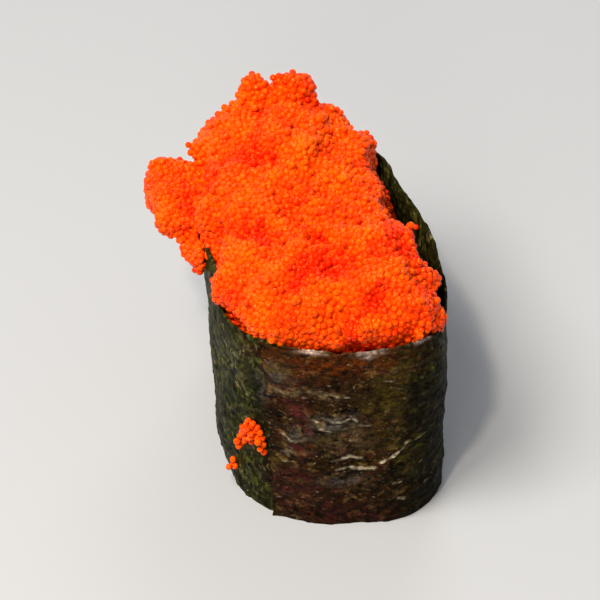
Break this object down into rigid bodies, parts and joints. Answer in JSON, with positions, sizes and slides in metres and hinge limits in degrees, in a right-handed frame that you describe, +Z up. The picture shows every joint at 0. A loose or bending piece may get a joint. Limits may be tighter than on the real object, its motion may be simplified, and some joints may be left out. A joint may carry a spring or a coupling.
{
  "type": "gunkan sushi",
  "caption": "Gunkan sushi: pressed rice wrapped in a lapped nori band, heaped with orange flying-fish roe that spills over the rim at one side.",
  "frame": {"origin": "middle of the underside of the rice, on the surface the piece stands on", "axes": "+Z up out of the roe, +Y along the piece's length to its narrow back end, +X to the right seen from its wide front end"},
  "size_m": [0.037, 0.0507, 0.0439],
  "materials": {
    "nori": "dry, crinkled, satin",
    "rice": "moist, slightly glossy grains",
    "roe": "wet, translucent beads"
  },
  "bodies": {
    "root": {"nori": "nori", "rice": "rice", "roe": "roe"}
  },
  "joints": []
}
